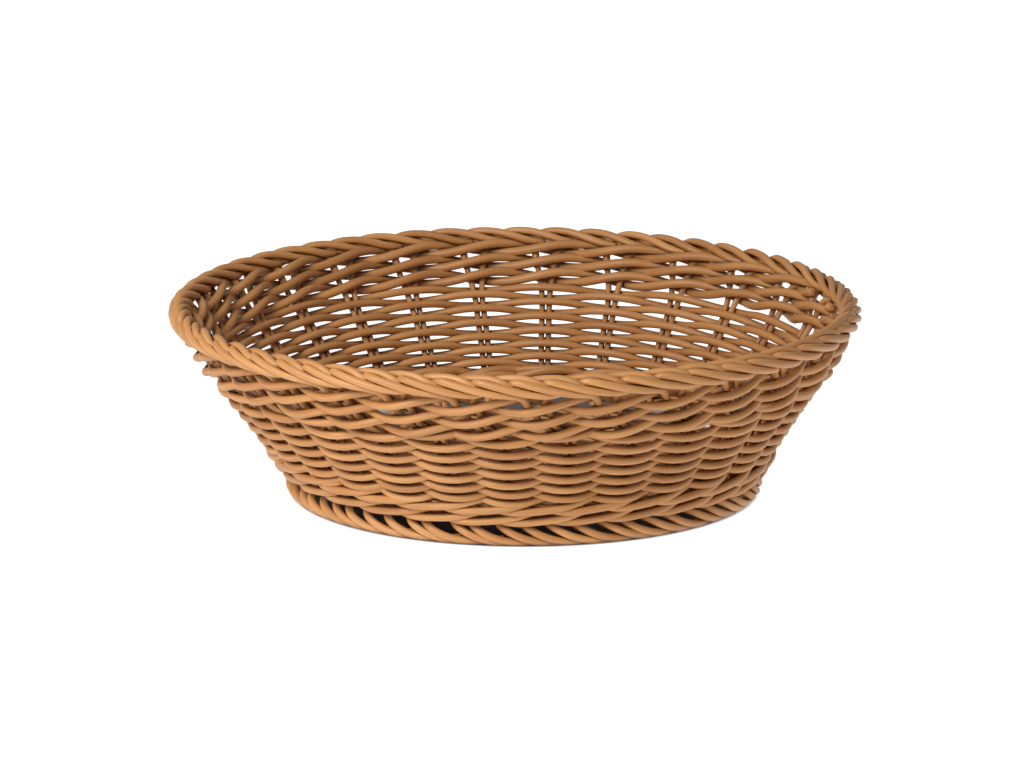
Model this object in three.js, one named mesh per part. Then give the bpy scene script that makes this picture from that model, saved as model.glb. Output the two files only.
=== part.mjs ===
// Round woven bread basket, built strand by strand.
// Millimetres, +Z up, the middle of the footprint on the ground at the origin, front toward -Y.
import * as THREE from 'three';

// ---- driving dimensions -------------------------------------------------------------
const RIM_DIAMETER = 250;          // widest point of the rolled rim
const HEIGHT = 70.5;               // ground to the crest of the rim
const FOOT_DIAMETER = 172.6;       // widest point of the foot ring
const RIM_SECTION = 4.1;           // radius of the rolled rim's round section
const FOOT_SECTION = 3.9;          // half width of the foot ring's section
const FOOT_HEIGHT = 7.6;           // ground to the top of the foot ring
const FOOT_OFFSET = 3.45;          // the hand-woven foot sits a little to the right

const STAKE_COUNT = 29;            // odd, so one weaver alternates row after row
// The hand-set spacing: offset, then swings once and twice round, in radians.
const SPACING = { offset: -0.0134, cosine: -0.033, sine: -0.037, twice: 0.016 };
const STAKE_RADIUS = 1.2;
const LEG_GAP_LOW = 3.1;           // distance between the two legs in the side weave
const LEG_GAP_HIGH = 7.6;          // and where they spread under the rim
const STAKE_BOTTOM = 8.9;
const STAKE_TOP = 61.4;
const SPREAD_FROM = 45;            // height at which the legs start to part
const LEG_STATIONS = [STAKE_TOP, 54, SPREAD_FROM, 28, STAKE_BOTTOM + 1.5];
const FOLD_WIDTH = 0.62;           // the fold's share of the distance between the legs
const FOLD_RISE = 0.35;            // its middle above the stake's bottom

const ROWS = 14;                   // rows of plain side weave
const WEAVER_START = 16;           // the stake the weaver starts at, at the back
const FIRST_ROW = 18.3;            // height of the first row
const ROW_STEP = 1.86;             // rise per row at the bottom of the side weave
const ROW_GROWTH = 0.0194;          // the rows open up toward the rim
const WEAVER_DEPTH = 1.05;         // half the weaver's thickness across the wall
const WEAVER_TALL = 0.92;          // and along it, where the rows press together
const WEAVER_SWING = 3.15;         // how far the weaver passes inside and outside a stake

// The bands are ropes of twined strands, each in front of `front` stakes and behind one.
// lift parts the strands up and down the wall, swing is how far they stand off the stakes.
const UPPER_PAIRING = {
  front: 1, rounds: 3, level: 50.4, rise: 4.8, lift: 1.4, swing: 3.85, radius: 1.2,
};
const LOWER_WALE = {
  front: 2, rounds: 2, level: 11.4, rise: 4.0, lift: 1.22, swing: 3.15, radius: 1.05,
};
const BAND_START = 18;             // the stake the bands start at, on the left of the back
const BAND_GAP = 6;                // stakes left free at the end, under the climb
const CLIMB_FROM = 0.8;            // share of a round after which it climbs to the next

const STICK_COUNT = 8;             // four base sticks laid across four
const STICK_RADIUS = 1.2;
const STICK_REACH = 79;            // from the middle of the base to a stick's end
const BASE_LEVEL = 9.4;            // middle of the base's thickness
const BASE_FIRST = 23;             // radius of the innermost turn of the base weave
const BASE_LAST = 76;              // radius of the outermost turn
const BASE_PITCH = 3.1;            // distance between neighbouring turns
const BASE_SWING = 2.65;           // how far a base weaver passes above and below a stick
const BASE_WEAVER_RADIUS = 1.1;
const CROSS_SPACING = 2.8;         // between neighbouring sticks where they cross
const CROSS_REACH = 8;             // half the length they stay side by side
const CROSS_AIR = 0.15;            // half the air between the crossed layers

const ROPE_DRAW = 0.45;            // how deep the borders' ridges are
const RIM_SIDES = 8;

// ---- the shape of the wall -----------------------------------------------------------
// Height and radius of the line the stakes follow, foot to rim.
const WALL = [
  [5, 80.8], [9, 83.2], [13, 85.9], [21, 90.7], [28.5, 95.8],
  [36, 101.0], [43, 106.4], [49, 110.7], [54, 113.7], [59, 116.2], [64, 118.2],
];

function wallRadius(z) {
  let k = 0;
  while (k < WALL.length - 2 && z > WALL[k + 1][0]) {
    k += 1;
  }
  const [z0, r0] = WALL[k];
  const [z1, r1] = WALL[k + 1];
  return r0 + (r1 - r0) * (z - z0) / (z1 - z0);
}

// Direction square to the wall, pointing out and down.
function wallNormal(z) {
  const slope = (wallRadius(z + 3) - wallRadius(z - 3)) / 6;
  const length = Math.hypot(1, slope);
  return { out: 1 / length, down: slope / length };
}

// Angle around the basket of a place between stakes, counted in stakes from the front.
function turnAt(place) {
  const even = 2 * Math.PI * place / STAKE_COUNT;
  return even + SPACING.offset + SPACING.cosine * Math.cos(even)
    + SPACING.sine * Math.sin(even) + SPACING.twice * Math.sin(2 * even);
}

function radial(angle) {
  return new THREE.Vector3(Math.sin(angle), -Math.cos(angle), 0);
}

// A point beside the wall: along the rim, up the wall, and square off it.
function besideWall(angle, z, lift, swing) {
  const n = wallNormal(z);
  const r = wallRadius(z) + lift * n.down + swing * n.out;
  return radial(angle).multiplyScalar(r).setZ(z + lift * n.out - swing * n.down);
}

function wallFacing(angle, z) {
  const n = wallNormal(z);
  return radial(angle).multiplyScalar(n.out).setZ(-n.down);
}

// ---- strands -------------------------------------------------------------------------
// A strand follows its corner points exactly and keeps its section square to `facing`.
class StrandPath extends THREE.Curve {
  constructor(points, facing) {
    super();
    this.points = points;
    this.facing = facing;
  }

  getUtoTmapping(u) {
    return u;
  }

  getPoint(t, target = new THREE.Vector3()) {
    const last = this.points.length - 1;
    const along = Math.min(Math.max(t, 0), 1) * last;
    const k = Math.min(Math.floor(along), last - 1);
    return target.copy(this.points[k]).lerp(this.points[k + 1], along - k);
  }

  computeFrenetFrames(segments) {
    const tangents = [];
    const normals = [];
    const binormals = [];
    for (let i = 0; i <= segments; i += 1) {
      const here = this.points[i];
      const ahead = this.points[Math.min(i + 1, segments)].clone().sub(here).normalize();
      const behind = here.clone().sub(this.points[Math.max(i - 1, 0)]).normalize();
      const tangent = ahead.add(behind).normalize();
      const side = this.facing[i].clone();
      side.addScaledVector(tangent, -side.dot(tangent)).normalize();
      tangents.push(tangent);
      normals.push(side);
      binormals.push(tangent.clone().cross(side));
    }
    return { tangents, normals, binormals };
  }
}

function strand(points, facing, halfDepth, halfTall, sides) {
  const outline = new THREE.Shape();
  for (let k = 0; k < sides; k += 1) {
    const a = 2 * Math.PI * k / sides;
    const x = halfDepth * Math.cos(a);
    const y = halfTall * Math.sin(a);
    if (k === 0) {
      outline.moveTo(x, y);
    } else {
      outline.lineTo(x, y);
    }
  }
  outline.closePath();
  return new THREE.ExtrudeGeometry(outline, {
    steps: points.length - 1,
    curveSegments: 1,
    bevelEnabled: false,
    extrudePath: new StrandPath(points, facing),
  });
}

// ---- the assembly --------------------------------------------------------------------
const COLOURS = { light: 0xc48f56, mid: 0xb9824b, deep: 0xa87341 };
const group = new THREE.Group();
group.name = 'bread_basket';

// Leans everything over by the foot's offset: full on the ground, none at the rim's middle.
const rimLevel = HEIGHT - RIM_SECTION;
const lean = new THREE.Matrix4().set(
  1, 0, -FOOT_OFFSET / rimLevel, FOOT_OFFSET,
  0, 1, 0, 0,
  0, 0, 1, 0,
  0, 0, 0, 1,
);

function add(name, geometry, colour) {
  geometry.applyMatrix4(lean);
  const material = new THREE.MeshStandardMaterial({
    color: colour,
    roughness: 0.52,
    metalness: 0,
  });
  const mesh = new THREE.Mesh(geometry, material);
  mesh.name = name;
  group.add(mesh);
}

function twoDigits(n) {
  return String(n).padStart(2, '0');
}

// ---- stakes: one strand folded double, two legs side by side --------------------------
function stakeGeometry(index) {
  const centre = turnAt(index);
  const points = [];
  const facing = [];
  const leg = (z, side) => {
    const spread = Math.max(0, (z - SPREAD_FROM) / (STAKE_TOP - SPREAD_FROM));
    const gap = LEG_GAP_LOW + (LEG_GAP_HIGH - LEG_GAP_LOW) * spread;
    const angle = centre + side * gap / 2 / wallRadius(z);
    points.push(besideWall(angle, z, 0, 0));
    facing.push(wallFacing(angle, z));
  };
  for (const z of LEG_STATIONS) {
    leg(z, -1);
  }
  // the fold at the foot
  for (const side of [-FOLD_WIDTH, FOLD_WIDTH]) {
    const angle = centre + side * LEG_GAP_LOW / 2 / wallRadius(STAKE_BOTTOM);
    points.push(besideWall(angle, STAKE_BOTTOM + FOLD_RISE, 0, 0));
    facing.push(wallFacing(centre, STAKE_BOTTOM));
  }
  for (const z of [...LEG_STATIONS].reverse()) {
    leg(z, 1);
  }
  return strand(points, facing, STAKE_RADIUS, STAKE_RADIUS, 5);
}

for (let i = 0; i < STAKE_COUNT; i += 1) {
  add(`stake_${twoDigits(i + 1)}`, stakeGeometry(i), COLOURS.mid);
}

// ---- side weave: one long weaver, in front of one stake and behind the next -----------
function sideWeaverGeometry() {
  const points = [];
  const facing = [];
  for (let k = 0; k <= ROWS * STAKE_COUNT; k += 1) {
    const row = k / STAKE_COUNT;
    const z = FIRST_ROW + ROW_STEP * row + ROW_GROWTH * row * row;
    const angle = turnAt(WEAVER_START + k);
    const swing = k % 2 === 0 ? WEAVER_SWING : -WEAVER_SWING;
    points.push(besideWall(angle, z, 0, swing));
    facing.push(wallFacing(angle, z));
  }
  return strand(points, facing, WEAVER_DEPTH, WEAVER_TALL, 5);
}

add('side_weaver', sideWeaverGeometry(), COLOURS.light);

// ---- bands: two strands twined above the side weave, three below it --------------------
// A round keeps its level and climbs to the next over the last few stakes.
function roundLevel(places) {
  const round = Math.floor(places / STAKE_COUNT);
  const climb = (places / STAKE_COUNT - round - CLIMB_FROM) / (1 - CLIMB_FROM);
  const eased = Math.min(Math.max(climb, 0), 1);
  return round + eased * eased * (3 - 2 * eased);
}

function bandGeometry(band, which) {
  const points = [];
  const facing = [];
  const put = (place, lift, swing) => {
    const angle = turnAt(BAND_START + place);
    const z = band.level + band.rise * roundLevel(place);
    points.push(besideWall(angle, z, lift, swing));
    facing.push(wallFacing(angle, z));
  };
  const last = band.rounds * STAKE_COUNT - BAND_GAP;
  for (let k = which; k <= last + which; k += 1) {
    const phase = (k - which) % (band.front + 1);
    if (phase === 0) {
      put(k, 0, -band.swing);
      put(k + 0.5, -band.lift, 0);
      continue;
    }
    // in front: level past a single stake, rising from low to high past two
    put(k, band.front === 1 ? 0 : (2 * phase - 3) * band.lift, band.swing);
    if (phase === band.front) {
      put(k + 0.5, band.lift, 0);
    }
  }
  return strand(points, facing, band.radius, band.radius, 4);
}

for (let i = 0; i <= UPPER_PAIRING.front; i += 1) {
  add(`upper_pairing_strand_${i + 1}`, bandGeometry(UPPER_PAIRING, i), COLOURS.light);
}
for (let i = 0; i <= LOWER_WALE.front; i += 1) {
  add(`lower_wale_strand_${i + 1}`, bandGeometry(LOWER_WALE, i), COLOURS.light);
}

// ---- rolled borders: rope-like rings --------------------------------------------------
// The lathe turns a closed outline, then every second station is drawn in a little so
// the ridges run round the section like the lay of a rope.
function ropeRing(outline, fixed, lay) {
  const segments = 4 * STAKE_COUNT;
  const closed = [...outline, outline[0]];
  const geometry = new THREE.LatheGeometry(closed, segments);
  geometry.rotateX(Math.PI / 2);
  const middle = new THREE.Vector2(0, 0);
  for (const p of outline) {
    middle.add(p);
  }
  middle.divideScalar(outline.length);
  const position = geometry.getAttribute('position');
  for (let i = 0; i < position.count; i += 1) {
    const station = Math.floor(i / closed.length) % segments;
    const place = (i % closed.length) % outline.length;
    if ((station + place) % 2 === 0 || fixed.includes(place)) {
      continue;
    }
    const x = position.getX(i);
    const y = position.getY(i);
    const z = position.getZ(i);
    const r = Math.hypot(x, y);
    const away = Math.hypot(r - middle.x, z - middle.y);
    const kept = 1 - lay / away;
    const newRadius = middle.x + (r - middle.x) * kept;
    const newHeight = middle.y + (z - middle.y) * kept;
    position.setXYZ(i, x * newRadius / r, y * newRadius / r, newHeight);
  }
  return geometry;
}

function rimOutline() {
  const points = [];
  const r = RIM_DIAMETER / 2 - RIM_SECTION;
  const z = HEIGHT - RIM_SECTION;
  for (let k = 0; k < RIM_SIDES; k += 1) {
    const a = 2 * Math.PI * k / RIM_SIDES;
    points.push(new THREE.Vector2(r + RIM_SECTION * Math.cos(a), z + RIM_SECTION * Math.sin(a)));
  }
  return points;
}

add('rim_border', ropeRing(rimOutline(), [0, 2], ROPE_DRAW), COLOURS.light);

function footOutline() {
  const r = FOOT_DIAMETER / 2 - FOOT_SECTION;
  const at = (dr, z) => new THREE.Vector2(r + dr, z);
  return [
    at(FOOT_SECTION, 3.4), at(3.0, 6.0), at(0.4, FOOT_HEIGHT),
    at(-2.8, 6.2), at(-FOOT_SECTION, 3.4), at(-2.4, 0), at(2.4, 0),
  ];
}

add('foot_border', ropeRing(footOutline(), [0, 5, 6], ROPE_DRAW), COLOURS.light);

// ---- base: sticks crossed four over four, opened out, with two chasing weavers ---------
function stickAngle(index) {
  return Math.PI * (index + 0.5) / STICK_COUNT;
}

function stickGeometry(index) {
  const acrossSet = index >= STICK_COUNT / 2;
  const layer = acrossSet ? 1 : -1;
  const level = BASE_LEVEL + layer * (STICK_RADIUS + CROSS_AIR);
  const along = Math.PI * (acrossSet ? 0.75 : 0.25);
  const slot = (index % 4) - 1.5;
  const ahead = new THREE.Vector3(Math.cos(along), Math.sin(along), 0);
  const aside = new THREE.Vector3(-Math.sin(along), Math.cos(along), 0);
  const tipAt = (angle) => new THREE.Vector3(Math.cos(angle), Math.sin(angle), 0);
  const front = tipAt(stickAngle(index));
  const back = tipAt(stickAngle(index + 3 - 2 * (index % 4)) + Math.PI);
  const up = new THREE.Vector3(0, 0, 1);
  const points = [];
  const near = (reach) => {
    const p = ahead.clone().multiplyScalar(reach).addScaledVector(aside, slot * CROSS_SPACING);
    return p.setZ(level);
  };
  points.push(back.clone().multiplyScalar(STICK_REACH).setZ(BASE_LEVEL));
  points.push(back.clone().multiplyScalar(BASE_FIRST).setZ(BASE_LEVEL));
  points.push(near(-CROSS_REACH));
  points.push(near(CROSS_REACH));
  points.push(front.clone().multiplyScalar(BASE_FIRST).setZ(BASE_LEVEL));
  points.push(front.clone().multiplyScalar(STICK_REACH).setZ(BASE_LEVEL));
  return strand(points, points.map(() => up), STICK_RADIUS, STICK_RADIUS, 6);
}

for (let i = 0; i < STICK_COUNT; i += 1) {
  add(`base_stick_${i + 1}`, stickGeometry(i), COLOURS.deep);
}

// The two weavers start on opposite sides and always pass a stick on opposite faces.
function baseWeaverGeometry(which) {
  const spokes = 2 * STICK_COUNT;
  const up = new THREE.Vector3(0, 0, 1);
  const points = [];
  const turns = (BASE_LAST - BASE_FIRST) / BASE_PITCH / 2;
  const count = Math.floor(turns * spokes);
  for (let k = 0; k <= count; k += 1) {
    const angle = 2 * Math.PI * (k + 0.5) / spokes + Math.PI * which;
    const r = BASE_FIRST + 2 * BASE_PITCH * k / spokes;
    const over = (k + which) % 2 === 0 ? 1 : -1;
    const z = BASE_LEVEL + over * BASE_SWING;
    points.push(new THREE.Vector3(r * Math.cos(angle), r * Math.sin(angle), z));
  }
  return strand(points, points.map(() => up), BASE_WEAVER_RADIUS, BASE_WEAVER_RADIUS, 4);
}

add('base_weaver_1', baseWeaverGeometry(0), COLOURS.deep);
add('base_weaver_2', baseWeaverGeometry(1), COLOURS.deep);

export default group;
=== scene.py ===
"""Round woven bread basket: every strand of the weave as its own smooth round cane."""
import math
import random

import bpy
import numpy as np
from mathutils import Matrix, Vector


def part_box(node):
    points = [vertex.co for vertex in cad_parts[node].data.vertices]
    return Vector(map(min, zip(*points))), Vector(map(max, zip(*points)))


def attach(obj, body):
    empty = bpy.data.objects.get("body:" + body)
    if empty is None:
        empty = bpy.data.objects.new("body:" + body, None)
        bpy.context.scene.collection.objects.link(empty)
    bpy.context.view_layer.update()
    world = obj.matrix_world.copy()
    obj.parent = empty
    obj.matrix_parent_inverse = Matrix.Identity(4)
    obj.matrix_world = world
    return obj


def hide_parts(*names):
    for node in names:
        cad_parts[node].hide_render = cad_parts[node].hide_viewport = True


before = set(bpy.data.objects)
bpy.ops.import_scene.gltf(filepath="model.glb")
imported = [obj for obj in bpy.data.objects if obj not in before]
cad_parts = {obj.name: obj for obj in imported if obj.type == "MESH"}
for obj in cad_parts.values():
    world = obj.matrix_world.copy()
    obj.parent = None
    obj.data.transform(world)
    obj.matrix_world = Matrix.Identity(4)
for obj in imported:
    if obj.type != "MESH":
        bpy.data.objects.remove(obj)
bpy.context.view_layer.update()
random.seed(7)
MM = 0.001

# ---- sizes from the frame, in millimetres ---------------------------------------------
rim_low, rim_high = (np.array(corner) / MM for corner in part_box("rim_border"))
foot_low, foot_high = (np.array(corner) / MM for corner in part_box("foot_border"))
RIM_OUTER = (rim_high[0] - rim_low[0]) / 2
RIM_SECTION = (rim_high[2] - rim_low[2]) / 2
RIM_LEVEL = rim_high[2] - RIM_SECTION
RIM_MIDDLE = RIM_OUTER - RIM_SECTION
FOOT_OUTER = (foot_high[0] - foot_low[0]) / 2
FOOT_SECTION = foot_high[2] / 2
FOOT_MIDDLE = FOOT_OUTER - FOOT_SECTION
FOOT_SHIFT = (foot_high[0] + foot_low[0]) / 2 * RIM_LEVEL / (RIM_LEVEL - FOOT_SECTION)

# ---- the weave, in millimetres and in stakes round the basket --------------------------
STAKES = sum(name.startswith("stake_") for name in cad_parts)
ROWS = 14.5
ROWS_START = 7                 # the stake the side weaver starts at, on the right
ROWS_MIDDLE = 31               # height at which the side weaver's length is reckoned
FIRST_ROW = 17.1
ROW_STEP = 1.92
ROW_GROWTH = 0.0195            # rows stand a little further apart the higher they are
ROW_BEND = 0.9                 # how squarely the side weaver bends round a stake
CLEARANCE = 0.05               # between a stake and the side weaver where they cross
BACK_RISE = 1.1                # rows lie higher at the back
UPPER = {"front": 1, "rounds": 3, "start": 8, "level": 63.6, "rise": -4.95, "lift": 1.9,
         "swing": 3.1}
LOWER = {"front": 2, "rounds": 2, "start": 8, "level": 21.4, "rise": -4.5, "lift": 1.85,
         "swing": 2.8}
BAND_DEPTH = 4                 # how far below its top level a band's length is reckoned
DROP_FROM = 0.3                # where in a round the step down begins
DROP_OVER = 0.44
FRONT_LEAN = 0.52              # stakes by which the front legs lean left, up to the rim
LEAN_ENDS = 0.62               # the backness beyond which the legs don't lean
LEAN_OVER = 0.4
LEAN_LEVELS = (44, 50, 55, 60)
LEAN_SHARES = (0, 0.62, 0.8, 1)
STAKE_RADIUS = 1.12
WEAVER_RADIUS = 1.42
WALE_RADIUS = 1.47
BORDER_RADIUS = 1.42
STEP = 1.1                     # length of one short piece of strand
BORDER_STEP = 0.8              # the same in the borders, where strands turn more tightly
SIDES = 10
BEVEL = 0.28                   # at a strand's ends, as a share of its radius
CAP_BULGE = 0.05               # how far the middle of an end stands out, as a share of its radius
GRAIN_LENGTH = 40              # metres of grain from which each strand takes its own stretch
BACK_SWELL = 0.08              # the canes at the back are a little thicker
BACK_CALM = 0.1                # the bands' canes lie flatter at the back
BACK_LIFT = 0.15               # rows at the back ride up outside and sag inside
WAVER_OCTAVES = 3
WAVER_MOST = 1.8               # about the most that the octaves add up to

# how far the stakes stray from even spacing, in radians
STRAY_ALL = 0.0134
STRAY_DEEP = 0.033             # most at the front and at the back
STRAY_SIDE = 0.037             # most at the sides
STRAY_DIAGONAL = 0.016         # most half way between those

# height and radius of the line the stakes follow
WALL = np.array([
    (3, 79.7), (5, 80.8), (9, 83.2), (13, 85.9), (21, 90.7), (28.5, 95.8), (36, 101.0),
    (43, 106.4), (49, 110.7), (54, 113.7), (59, 116.2), (64, 118.2), (68, 119.6),
])
WALL_SMOOTHING = (-3, -1.5, 0, 1.5, 3)
WALL_REACH = 2                 # height above and below a place over which its slope is taken


def wall_radius(z):
    z = np.asarray(z, float)
    samples = [np.interp(z + d, WALL[:, 0], WALL[:, 1]) for d in WALL_SMOOTHING]
    return np.mean(samples, axis=0)


def wall_normal(z):
    """The wall's outward direction at a height: how far out and how far down."""
    rise = wall_radius(z + WALL_REACH) - wall_radius(z - WALL_REACH)
    slope = rise / (2 * WALL_REACH)
    length = np.hypot(1, slope)
    return 1 / length, slope / length


def turn_at(place):
    """Angle from the front of a place counted in stakes, spaced unevenly by hand."""
    even = 2 * math.pi * np.asarray(place, float) / STAKES
    return (even - STRAY_ALL - STRAY_DEEP * np.cos(even) - STRAY_SIDE * np.sin(even)
            + STRAY_DIAGONAL * np.sin(2 * even))


def backness(place):
    """0 at the front, 1 at the back."""
    return (1 - np.cos(2 * math.pi * np.asarray(place, float) / STAKES)) / 2


def eased(share):
    """From 0 to 1 with a soft start and a soft end."""
    return share * share * (3 - 2 * share)


def leaning(place, z):
    """The upper band pulls the legs at the front to the left on their way up."""
    front = np.clip((LEAN_ENDS - backness(place)) / LEAN_OVER, 0, 1)
    return place - FRONT_LEAN * eased(front) * np.interp(z, LEAN_LEVELS, LEAN_SHARES)


def at(angle, r, z):
    """Points in the leaning frame, in millimetres."""
    x = r * np.sin(angle) + FOOT_SHIFT * (1 - z / RIM_LEVEL)
    return np.stack([x, -r * np.cos(angle), z], axis=-1)


def beside_wall(place, z, lift, swing):
    """Points off the stakes' line: lift is up along the wall, swing is straight out of it."""
    out, down = wall_normal(z)
    r = wall_radius(z) + lift * down + swing * out
    return at(turn_at(leaning(place, z)), r, z + lift * out - swing * down)


def wall_facing(place, z):
    """The wall's outward direction as a vector."""
    angle = turn_at(leaning(place, z))
    out, down = wall_normal(z)
    return np.stack([out * np.sin(angle), -out * np.cos(angle), -down], axis=-1)


def through(keys, s):
    """A smooth line through (s, value, ...) keys, read at s."""
    keys = np.array(keys, float)
    x = keys[:, 0]
    out = []
    for column in range(1, keys.shape[1]):
        y = keys[:, column]
        slopes = np.gradient(y, x)
        k = np.clip(np.searchsorted(x, s) - 1, 0, len(x) - 2)
        h = x[k + 1] - x[k]
        t = np.clip((s - x[k]) / h, 0, 1)
        out.append(
            (2 * t**3 - 3 * t**2 + 1) * y[k] + (t**3 - 2 * t**2 + t) * h * slopes[k]
            + (3 * t**2 - 2 * t**3) * y[k + 1] + (t**3 - t**2) * h * slopes[k + 1])
    return out


# ---- strands as meshes ----------------------------------------------------------------
class Pile:
    """Collects the strands of one piece into one mesh."""

    def __init__(self):
        self.points, self.faces, self.uvs = [], [], []
        self.count = 0

    def strand(self, points, facing, radius):
        """A round strand along points, of one radius or one at each point."""
        points = np.asarray(points, float)
        facing = np.broadcast_to(np.asarray(facing, float), points.shape)
        along = np.gradient(points, axis=0)
        along /= np.linalg.norm(along, axis=1)[:, None]
        side = facing - (facing * along).sum(1)[:, None] * along
        for k in range(1, len(side)):
            side[k] = side[k - 1] - (side[k - 1] @ along[k]) * along[k]
            side[k] /= math.sqrt(side[k] @ side[k])
        side[0] /= math.sqrt(side[0] @ side[0])
        up = np.cross(along, side)
        length = np.concatenate([[0], np.cumsum(np.linalg.norm(np.diff(points, axis=0), axis=1))])
        radii = np.broadcast_to(np.asarray(radius, float), len(points))
        a = 2 * math.pi * np.arange(SIDES) / SIDES
        spokes = (np.cos(a)[None, :, None] * side[:, None, :]
                  + np.sin(a)[None, :, None] * up[:, None, :])
        rings = points[:, None, :] + radii[:, None, None] * spokes
        bevel = BEVEL * radii[0]
        caps = []
        for end, sign in ((0, -1), (-1, 1)):
            centre = points[end] + sign * bevel * along[end]
            ring = centre + (radii[end] - bevel) * spokes[end]
            caps.append((ring, centre + sign * CAP_BULGE * radii[end] * along[end]))
        rings = np.concatenate([caps[0][0][None], rings, caps[1][0][None]])
        n = len(rings)
        base = self.count
        self.points.append(rings.reshape(-1, 3))
        self.points.append(np.array([caps[0][1], caps[1][1]]))
        self.count += n * SIDES + 2
        j = np.arange(SIDES)
        i = np.arange(n - 1)[:, None]
        a0 = base + i * SIDES + j
        a1 = base + i * SIDES + (j + 1) % SIDES
        quads = np.stack([a0, a0 + SIDES, a1 + SIDES, a1], axis=-1).reshape(-1, 4)
        self.faces.extend(quads.tolist())
        offset = random.uniform(0, GRAIN_LENGTH)
        v = np.concatenate([[length[0] - bevel], length, [length[-1] + bevel]]) * MM + offset
        turn = random.random()
        u0 = j / SIDES + turn
        for k in range(n - 1):
            for m in range(SIDES):
                self.uvs.extend((u0[m], v[k], u0[m], v[k + 1],
                                 u0[m] + 1 / SIDES, v[k + 1], u0[m] + 1 / SIDES, v[k]))
        first, last = base + n * SIDES, base + n * SIDES + 1
        for m in range(SIDES):
            self.faces.append((first, base + m, base + (m + 1) % SIDES))
            self.uvs.extend((u0[m], v[0], u0[m], v[0], u0[m] + 1 / SIDES, v[0]))
            top = base + (n - 1) * SIDES
            self.faces.append((last, top + (m + 1) % SIDES, top + m))
            self.uvs.extend((u0[m], v[-1], u0[m] + 1 / SIDES, v[-1], u0[m], v[-1]))

    def piece(self, name, material, *nodes):
        """Makes the strands one object, which stands in for the CAD's nodes."""
        mesh = bpy.data.meshes.new(name)
        mesh.from_pydata((np.concatenate(self.points) * MM).tolist(), [], self.faces)
        layer = mesh.uv_layers.new(name="strand")
        layer.data.foreach_set("uv", np.array(self.uvs, dtype=np.float32))
        mesh.polygons.foreach_set("use_smooth", [True] * len(mesh.polygons))
        mesh.materials.append(material)
        mesh.update()
        obj = bpy.data.objects.new(name, mesh)
        bpy.context.scene.collection.objects.link(obj)
        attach(obj, "root")
        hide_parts(*nodes)


def waver(size, wavelength, s):
    """A slow seeded wander, so no two stretches of weave are quite alike."""
    total = np.zeros_like(s, dtype=float)
    for octave in range(WAVER_OCTAVES):
        phase = random.uniform(0, 2 * math.pi)
        stretch = wavelength * random.uniform(0.7, 1.4) / (octave + 1)
        total += np.sin(2 * math.pi * s / stretch + phase) / (octave + 1)
    return size * total / WAVER_MOST


def over_and_under(s, bend):
    """1 at even places and -1 at odd ones; a larger bend turns more squarely between."""
    return np.tanh(bend * np.cos(math.pi * s)) / math.tanh(bend)


# ---- material: colours, and lengths in metres -------------------------------------------
BLACK = (0, 0, 0)
WHITE = (1, 1, 1)
LIGHT_TAN = (0.59, 0.287, 0.097)
DEEP_TAN = (0.45, 0.198, 0.060)
BORDER_LIGHT = (0.63, 0.312, 0.108)
BORDER_DEEP = (0.49, 0.219, 0.069)
STREAK_DARK = (0.72, 0.66, 0.60)
STREAK_LIGHT = (1.06, 1.05, 1.04)
STREAK_STRENGTH = 0.75
GRAIN_DARK = (0.80, 0.76, 0.72)
GRAIN_STRENGTH = 0.45
# painted shade in the creases: the colour multiplied in there, and how far off a neighbouring
# strand darkens a cane
PAINTED_CREASE_SHADE = (0.30, 0.19, 0.10)
CREASE_REACH = 0.0045
BUMP_STRENGTH = 0.365
BUMP_HEIGHT = 0.0002
SATIN = 0.46


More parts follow.
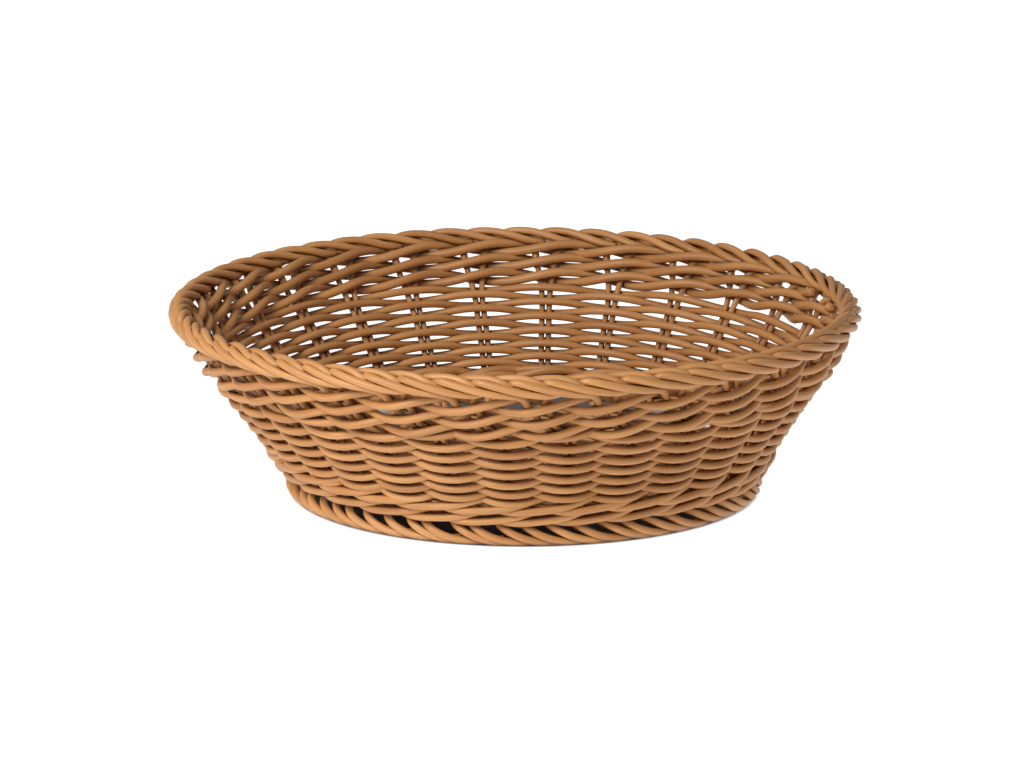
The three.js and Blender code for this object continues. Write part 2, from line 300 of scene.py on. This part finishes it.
def cane_material(name, light, dark, roughness):
    """Satin synthetic cane: fine lengthwise drawing lines, slow changes of tone, and painted
    shade darkening the creases between strands.
    """
    material = bpy.data.materials.new(name)
    material.use_nodes = True
    nodes = material.node_tree.nodes
    links = material.node_tree.links
    shader = nodes["Principled BSDF"]
    shader.inputs["Roughness"].default_value = roughness
    shader.inputs["Specular IOR Level"].default_value = SATIN
    uv = nodes.new("ShaderNodeUVMap")
    uv.uv_map = "strand"

    def noise(scale_around, scale_along, detail, rough):
        mapping = nodes.new("ShaderNodeMapping")
        mapping.inputs["Scale"].default_value = (scale_around, scale_along, 1)
        texture = nodes.new("ShaderNodeTexNoise")
        texture.inputs["Scale"].default_value = 1
        texture.inputs["Detail"].default_value = detail
        texture.inputs["Roughness"].default_value = rough
        links.new(uv.outputs["UV"], mapping.inputs["Vector"])
        links.new(mapping.outputs["Vector"], texture.inputs["Vector"])
        return texture.outputs["Fac"]

    def ramp(value, low, high):
        """A colour for a value: low and high are each (value, colour)."""
        scale = nodes.new("ShaderNodeValToRGB")
        for stop, (position, colour) in zip(scale.color_ramp.elements, (low, high)):
            stop.position = position
            stop.color = (*colour, 1)
        links.new(value, scale.inputs["Fac"])
        return scale.outputs["Color"]

    def multiplied(colour, by, factor):
        mix = nodes.new("ShaderNodeMixRGB")
        mix.blend_type = "MULTIPLY"
        mix.inputs["Fac"].default_value = factor
        links.new(colour, mix.inputs["Color1"])
        links.new(by, mix.inputs["Color2"])
        return mix.outputs["Color"]

    tone = noise(0.0, 9.0, 1.0, 0.4)
    streak = noise(9.0, 45.0, 3.0, 0.6)
    grain = noise(22.0, 900.0, 2.0, 0.6)

    toned = nodes.new("ShaderNodeMixRGB")
    toned.inputs["Color1"].default_value = (*dark, 1)
    toned.inputs["Color2"].default_value = (*light, 1)
    links.new(ramp(tone, (0.3, BLACK), (0.7, WHITE)), toned.inputs["Fac"])
    streaks = ramp(streak, (0.3, STREAK_DARK), (0.65, STREAK_LIGHT))
    grains = ramp(grain, (0.35, GRAIN_DARK), (0.6, WHITE))
    streaked = multiplied(toned.outputs["Color"], streaks, STREAK_STRENGTH)
    grained = multiplied(streaked, grains, GRAIN_STRENGTH)

    # painted shade: the colour is darkened where ambient occlusion finds other strands close by,
    # in the creases between strands
    crease = nodes.new("ShaderNodeAmbientOcclusion")
    crease.samples = 8
    crease.inputs["Distance"].default_value = CREASE_REACH
    depth = nodes.new("ShaderNodeMapRange")
    depth.inputs["From Min"].default_value = 0.12
    depth.inputs["From Max"].default_value = 0.62
    crease_shaded = nodes.new("ShaderNodeMixRGB")
    crease_shaded.blend_type = "MULTIPLY"
    crease_shaded.inputs["Color2"].default_value = (*PAINTED_CREASE_SHADE, 1)
    turned = nodes.new("ShaderNodeMath")
    turned.operation = "SUBTRACT"
    turned.inputs[0].default_value = 1
    links.new(crease.outputs["AO"], depth.inputs["Value"])
    links.new(depth.outputs["Result"], turned.inputs[1])
    links.new(turned.outputs["Value"], crease_shaded.inputs["Fac"])
    links.new(grained, crease_shaded.inputs["Color1"])
    links.new(crease_shaded.outputs["Color"], shader.inputs["Base Color"])

    bump = nodes.new("ShaderNodeBump")
    bump.inputs["Strength"].default_value = BUMP_STRENGTH
    bump.inputs["Distance"].default_value = BUMP_HEIGHT
    links.new(streak, bump.inputs["Height"])
    links.new(bump.outputs["Normal"], shader.inputs["Normal"])
    return material


side_cane = cane_material("weaver_cane", LIGHT_TAN, DEEP_TAN, 0.5)
border_cane = cane_material("border_cane", BORDER_LIGHT, BORDER_DEEP, 0.46)
stake_cane = cane_material("stake_cane", LIGHT_TAN, DEEP_TAN, 0.5)
base_cane = cane_material("base_cane", LIGHT_TAN, DEEP_TAN, 0.55)


# ---- side weave -----------------------------------------------------------------------
def side_weaver():
    length = ROWS * 2 * math.pi * wall_radius(ROWS_MIDDLE)
    s = np.linspace(0, ROWS * STAKES, int(length / STEP))
    row = s / STAKES
    place = ROWS_START + s
    z = FIRST_ROW + ROW_STEP * row + ROW_GROWTH * row**2 + waver(0.16, 7, s)
    z += BACK_RISE * backness(place)
    swing = over_and_under(s, ROW_BEND) * (STAKE_RADIUS + WEAVER_RADIUS + CLEARANCE)
    lift = BACK_LIFT * backness(place) * (swing / swing.max())
    pile = Pile()
    pile.strand(beside_wall(place, z, lift, swing), wall_facing(place, z),
                WEAVER_RADIUS * (1 + BACK_SWELL / 2 * backness(place)))
    pile.piece("side_weaver_strand", side_cane, "side_weaver")


# ---- bands: two canes paired below the rim, three canes waled above the foot -----------
# the lift and swing of a waled cane over three stakes, in front of two and behind one
WALED_LIFT = [(-0.5, 0.98), (0, 0.25), (0.5, -0.65), (1, -0.95), (1.5, -0.5), (2, 0.3),
              (2.5, 0.98), (3, 0.25), (3.5, -0.65)]
WALED_SWING = [(-0.5, 0.05), (0, -0.93), (0.5, 0.05), (1, 0.98), (1.5, 1.1), (2, 0.98),
               (2.5, 0.05), (3, -0.93), (3.5, 0.05)]


def round_level(along):
    """Rounds are level at the back and on the right, and step down from back to front."""
    step = np.clip((along / STAKES % 1 - DROP_FROM) / DROP_OVER, 0, 1)
    return np.floor(along / STAKES) + eased(step)


def band_strand(band, which):
    last = band["rounds"] * STAKES - 1 - which
    middle = wall_radius(band["level"] - BAND_DEPTH)
    s = np.linspace(0, last, int(last * 2 * math.pi * middle / STAKES / STEP))
    if band["front"] == 1:      # in front of one stake and behind the next, like a rope
        lift = -np.sin(math.pi * s)
        swing = -np.cos(math.pi * s)
    else:
        lift = through(WALED_LIFT, s % 3)[0]
        swing = through(WALED_SWING, s % 3)[0]
    place = band["start"] + which + s
    lift = lift * band["lift"] * (1 - BACK_CALM * backness(place))
    swing = swing * band["swing"] + waver(0.12, 4, s)
    z = band["level"] + band["rise"] * round_level(which + s) + waver(0.15, 6, s)
    pile = Pile()
    pile.strand(beside_wall(place, z, lift, swing), wall_facing(place, z),
                WALE_RADIUS * (1 + 2 * BACK_SWELL * backness(place)))
    return pile


def bands():
    for name, band in (("upper_pairing", UPPER), ("lower_wale", LOWER)):
        for which in range(band["front"] + 1):
            band_strand(band, which).piece(f"{name}_cane_{which + 1}", side_cane,
                                           f"{name}_strand_{which + 1}")


# ---- stakes and borders ---------------------------------------------------------------
# A lay is read as (stakes ahead of its tip, angle round the section, distance from its
# middle); the angle is 0 facing out, 90 up, 180 in.
OUTER_LAY = [(1.12, -118, 1.7), (1.0, -92, 2.3), (0.86, -64, 2.8), (0.66, -38, 3.0),
             (0.44, -12, 3.05), (0.24, 13, 3.05), (0.08, 34, 2.95), (-0.04, 54, 2.4),
             (-0.1, 78, 1.3), (-0.22, 120, 0.6)]
CREST_LAY = [(0.44, 12, 0.8), (0.35, 36, 1.8), (0.25, 60, 2.75), (0.1, 83, 3.2),
             (-0.1, 106, 3.15), (-0.27, 134, 2.95), (-0.44, 164, 2.85), (-0.6, 190, 2.45),
             (-0.73, 212, 1.6)]
FOOT_LAY = [(-0.05, 108, 3.7), (0.0, 84, 3.3), (0.08, 58, 3.0), (0.2, 30, 2.85),
            (0.34, 4, 2.75), (0.51, -22, 2.7), (0.72, -48, 2.65), (1.0, -72, 2.6),
            (1.32, -96, 2.5), (1.62, -125, 2.3)]
RIM_NUDGE = 0.04               # stakes by which a tip may stand off its place
FOOT_NUDGE = 0.065
FOOT_TIPS = 0.22               # stakes from a stake to the tip of each of its lays in the foot

# height, and the distance there between a stake's two legs
LEG_GAPS = np.array([(0, 2.4), (46, 2.6), (51, 3.8), (56, 5.8), (61, 7.4), (65, 8.4)])
STAKE_FROM = 11
STAKE_TO = 59


def leg_gap(z):
    return np.interp(z, LEG_GAPS[:, 0], LEG_GAPS[:, 1])


def leg_place(stake, side, z):
    """The place of one leg of a stake: side -1 or 1."""
    spacing = turn_at(stake + 0.5) - turn_at(stake - 0.5)
    return stake + side * leg_gap(z) / 2 / wall_radius(z) / spacing


def round_border(middle, level, place, angle, distance):
    """Points round a border's section, at places already leaning."""
    angle = np.radians(angle)
    return at(turn_at(place), middle + distance * np.cos(angle), level + distance * np.sin(angle))


def smooth_path(knots, step=STEP):
    """Cubic through 3-D knots, resampled at about one step."""
    knots = np.asarray(knots, float)
    chord = np.concatenate([[0], np.cumsum(np.linalg.norm(np.diff(knots, axis=0), axis=1))])
    s = np.linspace(0, chord[-1], max(4, int(chord[-1] / step)))
    columns = through(np.column_stack([chord, knots]), s)
    return np.stack(columns, axis=-1)


def refined(lay):
    """The keys of a lay with one more between each two, as columns."""
    keys = np.column_stack([np.arange(len(lay)), lay])
    return through(keys, np.arange(0, len(lay) - 0.99, 0.5))


def rim_lay(lay, tip, jitter):
    """Knots of one lay whose tip stands at a place."""
    ahead, angle, distance = refined(lay)
    place = leaning(tip + ahead, RIM_LEVEL)
    return round_border(RIM_MIDDLE, RIM_LEVEL, place, angle, distance + jitter)


def rim_core(stake, ahead, angle, distance):
    """Knots inside the rim, on the way from one lay to the next."""
    place = leaning(stake + np.array(ahead), RIM_LEVEL)
    return round_border(RIM_MIDDLE, RIM_LEVEL, place, np.array(angle), np.array(distance))


def rim_leg(stake, side, heights, out):
    """Knots up the last of a leg, standing out of the wall's line."""
    z = np.array(heights)
    place = leaning(leg_place(stake, side, z), z)
    return at(turn_at(place), wall_radius(z) + out, z)


def rim_strands():
    """A leg goes up outside, lies back over the border, ducks under and comes over its crest."""
    rolled = Pile()
    for j in range(STAKES):
        for side in (-1, 1):
            nudge = random.uniform(-RIM_NUDGE, RIM_NUDGE)
            jitter = random.uniform(-0.1, 0.08)
            if side < 0:
                knots = [rim_leg(j, side, (57.0, 59.0, 60.6), 0.3),
                         rim_lay(OUTER_LAY[2:], j - 1.25 + nudge, jitter),
                         rim_core(j, (-1.62, -1.76), (60, 20), (0.5, 0.8)),
                         rim_lay(CREST_LAY, j - 2.25 + nudge, jitter)]
            else:
                knots = [rim_leg(j, side, (57.0, 59.5, 62.0), -0.5),
                         rim_core(j, (0.14, -0.1, -0.26), (-120, -30, 0), (1.0, 0.7, 0.9)),
                         rim_lay(CREST_LAY, j - 0.75 + nudge, jitter),
                         rim_lay(OUTER_LAY, j - 3.75 + nudge, jitter)]
            points = smooth_path(np.vstack(knots), BORDER_STEP)
            rolled.strand(points, (0, 0, 1), BORDER_RADIUS)
    rolled.piece("rim_roll", border_cane, "rim_border")


def foot_strands():
    """A leg goes down into the border and lies forward round its outside, to underneath."""
    rolled = Pile()
    leg_z = np.array([14.5, 12.5, 10.8])
    ahead, angle, distance = refined(FOOT_LAY)
    for j in range(STAKES):
        for side in (-1, 1):
            nudge = random.uniform(-FOOT_NUDGE, FOOT_NUDGE)
            leg = at(turn_at(leg_place(j, side, leg_z)), wall_radius(leg_z), leg_z)
            lay = round_border(FOOT_MIDDLE, FOOT_SECTION, j + side * FOOT_TIPS + nudge + ahead,
                               angle, distance)
            points = smooth_path(np.vstack([leg, lay]), BORDER_STEP)
            points[:, 2] = np.maximum(points[:, 2], BORDER_RADIUS)
            rolled.strand(points, (0, 0, 1), BORDER_RADIUS)
    rolled.piece("foot_roll", border_cane, "foot_border")


def stakes():
    z = np.arange(STAKE_FROM, STAKE_TO, STEP * 1.5)
    for j in range(STAKES):
        pile = Pile()
        for side in (-1, 1):
            place = leg_place(j, side, z) + waver(0.006, 60, z)
            pile.strand(beside_wall(place, z, 0, 0), wall_facing(place, z), STAKE_RADIUS)
        pile.piece(f"stake_canes_{j + 1:02d}", stake_cane, f"stake_{j + 1:02d}")


# ---- base: crossed sticks fanned out, and two canes chasing over and under them -------
BASE_LEVEL = 9.4
BASE_SHIFT = np.array([FOOT_SHIFT * (1 - BASE_LEVEL / RIM_LEVEL), 0, 0])
BASE_UP = np.array([0, 0, 1.0])
STICKS = sum(name.startswith("base_stick_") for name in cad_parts)
STICK_LAYER = 1.25             # the two sets of sticks lie this far above and below the base
STICK_PITCH = 2.6              # between neighbours at the middle
STICK_STRAIGHT = 9             # how far each way from the middle a stick runs straight
STICK_FANNED = 24              # radius by which each end has its own direction
STICK_HALFWAY = 50
STICK_REACH = 79
BASE_FIRST = 21                # radius at which the base weavers start, and where they end
BASE_LAST = 77
BASE_MIDDLE = 50               # radius at which their length is reckoned
BASE_PITCH = 2.55
BASE_SWING = 2.3
BASE_BEND = 1.4                # how squarely they bend round a stick


def base_knot(angle, reach):
    return np.array([math.cos(angle) * reach, math.sin(angle) * reach, BASE_LEVEL])


def base_sticks():
    half = STICKS // 2
    for k in range(STICKS):
        across = k >= half
        level = BASE_LEVEL + (STICK_LAYER if across else -STICK_LAYER)
        along = math.pi * (0.75 if across else 0.25)
        ahead = np.array([math.cos(along), math.sin(along), 0])
        aside = np.array([-math.sin(along), math.cos(along), 0])
        offset = (k % half - (half - 1) / 2) * STICK_PITCH
        centre = [ahead * reach + aside * offset + BASE_UP * level
                  for reach in (-STICK_STRAIGHT, 0, STICK_STRAIGHT)]
        far = math.pi * (k + 0.5) / STICKS
        near = math.pi * (k + half - 1 - 2 * (k % half) + 0.5) / STICKS + math.pi
        outward = (STICK_FANNED, STICK_HALFWAY, STICK_REACH)
        knots = [base_knot(near, reach) for reach in reversed(outward)]
        knots += centre + [base_knot(far, reach) for reach in outward]
        pile = Pile()
        pile.strand(smooth_path(knots) + BASE_SHIFT, BASE_UP, STAKE_RADIUS)
        pile.piece(f"base_stick_cane_{k + 1}", base_cane, f"base_stick_{k + 1}")


def base_weavers():
    spokes = 2 * STICKS
    turns = (BASE_LAST - BASE_FIRST) / BASE_PITCH / 2
    s = np.linspace(0, turns * spokes, int(turns * 2 * math.pi * BASE_MIDDLE / STEP))
    for which in (0, 1):
        angle = 2 * math.pi * (s + 0.5) / spokes + math.pi * which
        r = BASE_FIRST + 2 * BASE_PITCH * s / spokes
        z = BASE_LEVEL + over_and_under(s + which, BASE_BEND) * BASE_SWING
        points = np.stack([r * np.cos(angle), r * np.sin(angle), z], axis=-1)
        pile = Pile()
        pile.strand(points + BASE_SHIFT, BASE_UP, WEAVER_RADIUS)
        pile.piece(f"base_weaver_cane_{which + 1}", base_cane, f"base_weaver_{which + 1}")


side_weaver()
bands()
stakes()
rim_strands()
foot_strands()
base_sticks()
base_weavers()


# ---- floor, light and camera, in metres ------------------------------------------------
FLOOR_SIZE = 8
FLOOR_GREY = (0.12, 0.12, 0.12)
FLOOR_ROUGHNESS = 0.6
GLOW = 1.1
# painted shadow on the floor: an oval behind the basket where the floor's glow is turned down
SHADE_BACK = 0.055             # from the middle of the basket back to the middle of the shade
SHADE_NARROW = 1.45            # how many times deeper than wide the shade is
SHADE_RADIUS = 0.088
SHADE_EDGE = 0.045
SHADE_GLOW = 0.02              # what is left of the glow in the shade
KEY_PLACE = Vector((-0.4, -0.51, 0.46))
KEY_TARGET = Vector((0, 0, 0.03))
KEY_SIZE = 0.4
KEY_POWER = 5.0
SKY_LIGHT = 0.36
VIEW_TARGET = Vector((-0.0011, 0, 0.0391))
VIEW_DISTANCE = 3.0
VIEW_ELEVATION = math.radians(13.4)
SENSOR = 36                    # millimetres, as the lens is
LENS = 291.09375


def stage():
    bpy.ops.mesh.primitive_plane_add(size=FLOOR_SIZE, location=(0, 0, 0))
    floor = bpy.context.active_object
    floor.name = "floor"
    material = bpy.data.materials.new("floor_white")
    material.use_nodes = True
    shader = material.node_tree.nodes["Principled BSDF"]
    shader.inputs["Base Color"].default_value = (*FLOOR_GREY, 1)
    shader.inputs["Roughness"].default_value = FLOOR_ROUGHNESS
    shader.inputs["Emission Color"].default_value = (*WHITE, 1)
    # the sheet glows like a lit table, but the glow is taken away in ovals under and behind the
    # basket: a painted shadow, not one cast by the lamp
    nodes, links = material.node_tree.nodes, material.node_tree.links
    geometry = nodes.new("ShaderNodeNewGeometry")

    def outside(centre, narrow, radius, edge, low=0.0):
        """A low value inside an oval on the floor, 1 outside it."""
        oval = nodes.new("ShaderNodeMapping")
        oval.inputs["Location"].default_value = (-centre[0] * narrow, -centre[1], 0)
        oval.inputs["Scale"].default_value = (narrow, 1, 1)
        length = nodes.new("ShaderNodeVectorMath")
        length.operation = "LENGTH"
        ramp = nodes.new("ShaderNodeMapRange")
        ramp.interpolation_type = "SMOOTHSTEP"
        ramp.inputs["From Min"].default_value = radius
        ramp.inputs["From Max"].default_value = radius + edge
        ramp.inputs["To Min"].default_value = low
        links.new(geometry.outputs["Position"], oval.inputs["Vector"])
        links.new(oval.outputs["Vector"], length.inputs[0])
        links.new(length.outputs["Value"], ramp.inputs["Value"])
        return ramp.outputs["Result"]

    def times():
        node = nodes.new("ShaderNodeMath")
        node.operation = "MULTIPLY"
        return node

    # painted shadow: no glow inside the foot's ring, and only SHADE_GLOW of it in the oval behind
    # the basket
    under = outside((FOOT_SHIFT * MM, 0), 1, FOOT_MIDDLE * MM, (FOOT_OUTER - FOOT_MIDDLE) * MM)
    behind = outside((FOOT_SHIFT * MM, SHADE_BACK), SHADE_NARROW,
                     SHADE_RADIUS, SHADE_EDGE, SHADE_GLOW)
    lit = times()
    links.new(under, lit.inputs[0])
    links.new(behind, lit.inputs[1])
    glow = times()
    links.new(lit.outputs["Value"], glow.inputs[0])
    glow.inputs[1].default_value = GLOW
    links.new(glow.outputs["Value"], shader.inputs["Emission Strength"])
    floor.data.materials.append(material)


def studio():
    """A soft white surround and one round lamp at the front left."""
    world = bpy.data.worlds.new("studio")
    world.use_nodes = True
    background = world.node_tree.nodes["Background"]
    background.inputs["Color"].default_value = (*WHITE, 1)
    background.inputs["Strength"].default_value = SKY_LIGHT
    bpy.context.scene.world = world
    data = bpy.data.lights.new("key", "AREA")
    data.shape = "DISK"
    data.size = KEY_SIZE
    data.energy = KEY_POWER
    lamp = bpy.data.objects.new("key", data)
    lamp.location = KEY_PLACE
    lamp.rotation_euler = (KEY_TARGET - KEY_PLACE).to_track_quat("-Z", "Y").to_euler()
    bpy.context.scene.collection.objects.link(lamp)


def camera():
    """A long lens in front, looking a little down."""
    data = bpy.data.cameras.new("camera")
    data.sensor_width = SENSOR
    data.lens = LENS
    data.clip_end = 50
    away = Vector((0, -math.cos(VIEW_ELEVATION), math.sin(VIEW_ELEVATION)))
    eye = bpy.data.objects.new("camera", data)
    eye.location = VIEW_TARGET + VIEW_DISTANCE * away
    eye.rotation_euler = (-away).to_track_quat("-Z", "Y").to_euler()
    bpy.context.scene.collection.objects.link(eye)
    bpy.context.scene.camera = eye


stage()
studio()
camera()
bpy.context.scene.view_settings.view_transform = "Standard"
